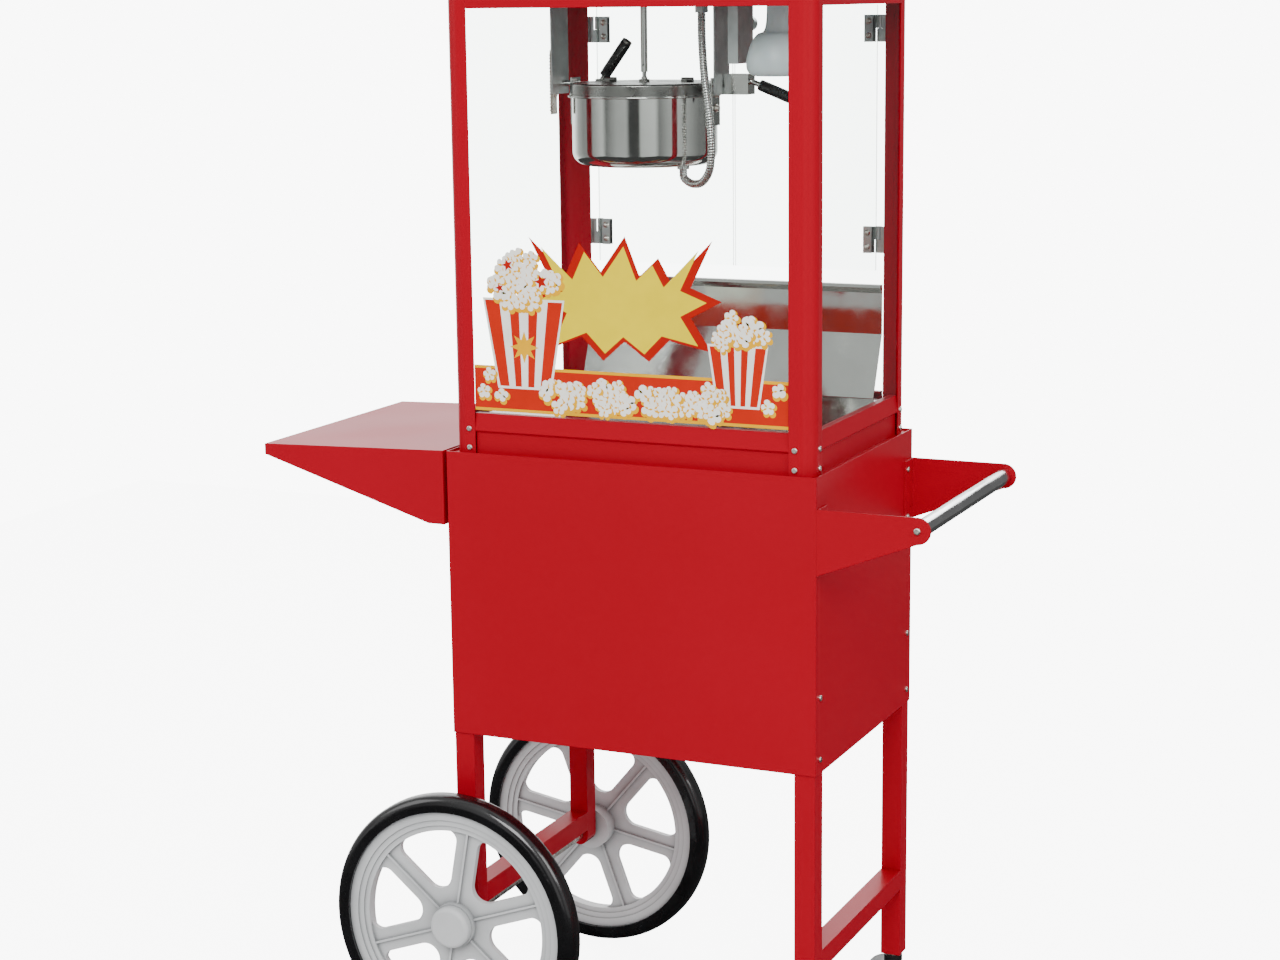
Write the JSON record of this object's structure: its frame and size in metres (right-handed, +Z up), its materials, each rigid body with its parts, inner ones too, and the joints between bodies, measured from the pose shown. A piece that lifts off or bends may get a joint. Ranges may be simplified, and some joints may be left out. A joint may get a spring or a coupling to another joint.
{
  "type": "popcorn maker on a cart",
  "caption": "Glazed popcorn cabinet with a tilting kettle on a red wheeled cart with side shelf, push handle, spoked wheels and casters.",
  "frame": {"origin": "on the floor, under the middle of the whole object's box", "axes": "+Z up, +X to the right of a customer standing at -Y, push handle at +X, doors and drawer at +Y"},
  "size_m": [0.951, 0.4972, 1.54],
  "materials": {
    "red_enamel": "glossy red powder coat",
    "polished_steel": "polished stainless steel",
    "galvanised_steel": "pale zinc-plated sheet",
    "zinc_steel": "bright zinc-plated steel",
    "chrome_tube": "chromed tube",
    "wheel_plastic": "light grey moulded plastic",
    "tyre_rubber": "glossy black moulded tyre",
    "black_plastic": "black moulded plastic",
    "rocker_plastic": "translucent red rocker",
    "clear_pane": "clear pane",
    "frosted_glass": "frosted reflector lamp",
    "white_ceramic": "white glazed porcelain",
    "armoured_conduit": "spiral metal sleeve",
    "motor_casting": "grey cast gearbox and motor"
  },
  "bodies": {
    "cart": {"cart_front_panel": "red_enamel", "cart_side_panels": "red_enamel", "cart_rear_frame": "red_enamel", "cart_deck": "red_enamel", "cart_floor": "red_enamel", "left_legs": "red_enamel", "right_legs": "red_enamel", "cross_members": "red_enamel", "side_shelf": "red_enamel", "handle_brackets": "red_enamel", "corner_posts": "red_enamel", "base_rail_front": "red_enamel", "base_rail_rear": "red_enamel", "base_rail_sides": "red_enamel", "header_front": "red_enamel", "header_rear": "red_enamel", "header_sides": "red_enamel", "roof": "red_enamel", "tray_floor": "polished_steel", "rear_guard": "polished_steel", "ceiling_plate": "galvanised_steel", "hangers": "galvanised_steel", "lamp_shade": "galvanised_steel", "conduit_fitting": "galvanised_steel", "hinge_posts": "galvanised_steel", "axle": "zinc_steel", "screws": "zinc_steel", "caster_stems": "zinc_steel", "handle_bar": "chrome_tube", "switch_bezels_and_gland": "black_plastic", "glass_panes": "clear_pane", "lamp": "frosted_glass", "lamp_holder": "white_ceramic", "conduit": "armoured_conduit", "gear_motor": "motor_casting"},
    "front_wheel": {"front_wheel_rim": "wheel_plastic", "front_wheel_tyre": "tyre_rubber", "front_hub_cap": "wheel_plastic"},
    "rear_wheel": {"rear_wheel_rim": "wheel_plastic", "rear_wheel_tyre": "tyre_rubber", "rear_hub_cap": "wheel_plastic"},
    "front_caster": {"front_caster_hood": "black_plastic"},
    "front_caster_rollers": {"front_caster_wheels": "black_plastic"},
    "rear_caster": {"rear_caster_hood": "black_plastic"},
    "rear_caster_rollers": {"rear_caster_wheels": "black_plastic"},
    "cart_door": {"cart_door": "red_enamel"},
    "drawer": {"drawer": "polished_steel"},
    "left_door": {"door_left": "clear_pane", "door_left_fittings": "galvanised_steel"},
    "right_door": {"door_right": "clear_pane", "door_right_fittings": "galvanised_steel"},
    "kettle": {"kettle_bowl": "polished_steel", "kettle_lid": "polished_steel", "dump_handle": "polished_steel"},
    "kettle_flap": {"kettle_flap": "polished_steel"},
    "stirrer": {"stirrer": "polished_steel"},
    "drive_rod": {"drive_rod": "polished_steel"},
    "rocker_light": {"rocker_light": "rocker_plastic"},
    "rocker_warmer": {"rocker_warmer": "rocker_plastic"},
    "rocker_motor": {"rocker_motor": "rocker_plastic"}
  },
  "joints": [
    {"name": "front_wheel_spin", "type": "hinge", "parent": "cart", "child": "front_wheel", "pos_m": [-0.177, -0.2226, 0.182], "axis": [0, 1, 0], "continuous": true},
    {"name": "rear_wheel_spin", "type": "hinge", "parent": "cart", "child": "rear_wheel", "pos_m": [-0.177, 0.2226, 0.182], "axis": [0, 1, 0], "continuous": true},
    {"name": "front_caster_swivel", "type": "hinge", "parent": "cart", "child": "front_caster", "pos_m": [0.312, -0.1735, 0.06], "axis": [0, 0, 1], "continuous": true},
    {"name": "front_caster_roll", "type": "hinge", "parent": "front_caster", "child": "front_caster_rollers", "pos_m": [0.294, -0.1735, 0.025], "axis": [0, 1, 0], "continuous": true},
    {"name": "rear_caster_swivel", "type": "hinge", "parent": "cart", "child": "rear_caster", "pos_m": [0.312, 0.1735, 0.06], "axis": [0, 0, 1], "continuous": true},
    {"name": "rear_caster_roll", "type": "hinge", "parent": "rear_caster", "child": "rear_caster_rollers", "pos_m": [0.294, 0.1735, 0.025], "axis": [0, 1, 0], "continuous": true},
    {"name": "cart_door_swing", "type": "hinge", "parent": "cart", "child": "cart_door", "pos_m": [-0.1635, 0.1951, 0.633], "axis": [0, 0, 1], "range_deg": [0, 110]},
    {"name": "drawer_slide", "type": "slide", "parent": "cart", "child": "drawer", "axis": [0, 1, 0], "range_m": [0, 0.22]},
    {"name": "left_door_swing", "type": "hinge", "parent": "cart", "child": "left_door", "pos_m": [-0.1415, 0.1902, 1.226], "axis": [0, 0, 1], "range_deg": [0, 110]},
    {"name": "right_door_swing", "type": "hinge", "parent": "cart", "child": "right_door", "pos_m": [0.2765, 0.1902, 1.226], "axis": [0, 0, -1], "range_deg": [0, 110]},
    {"name": "kettle_tilt", "type": "hinge", "parent": "cart", "child": "kettle", "pos_m": [0.0315, -0.036, 1.301], "axis": [-1, 0, 0], "range_deg": [0, 60], "deforming": ["conduit"]},
    {"name": "flap_lift", "type": "hinge", "parent": "kettle", "child": "kettle_flap", "pos_m": [0.0315, -0.022, 1.306], "axis": [1, 0, 0], "range_deg": [0, 75]},
    {"name": "drive_spin", "type": "hinge", "parent": "cart", "child": "drive_rod", "pos_m": [0.0315, -0.036, 1.366], "axis": [0, 0, 1], "continuous": true},
    {"name": "stirrer_spin", "type": "hinge", "parent": "kettle", "child": "stirrer", "pos_m": [0.0315, -0.036, 1.226], "axis": [0, 0, 1], "continuous": true},
    {"name": "light_switch", "type": "hinge", "parent": "cart", "child": "rocker_light", "pos_m": [0.0255, 0.18, 1.4475], "axis": [1, 0, 0], "range_deg": [0, 20]},
    {"name": "warmer_switch", "type": "hinge", "parent": "cart", "child": "rocker_warmer", "pos_m": [0.0675, 0.18, 1.4475], "axis": [1, 0, 0], "range_deg": [0, 20]},
    {"name": "motor_switch", "type": "hinge", "parent": "cart", "child": "rocker_motor", "pos_m": [0.1095, 0.18, 1.4475], "axis": [1, 0, 0], "range_deg": [0, 20]}
  ],
  "couplings": [
    {"joint": "stirrer_spin", "follows": "drive_spin", "ratio": 1}
  ]
}
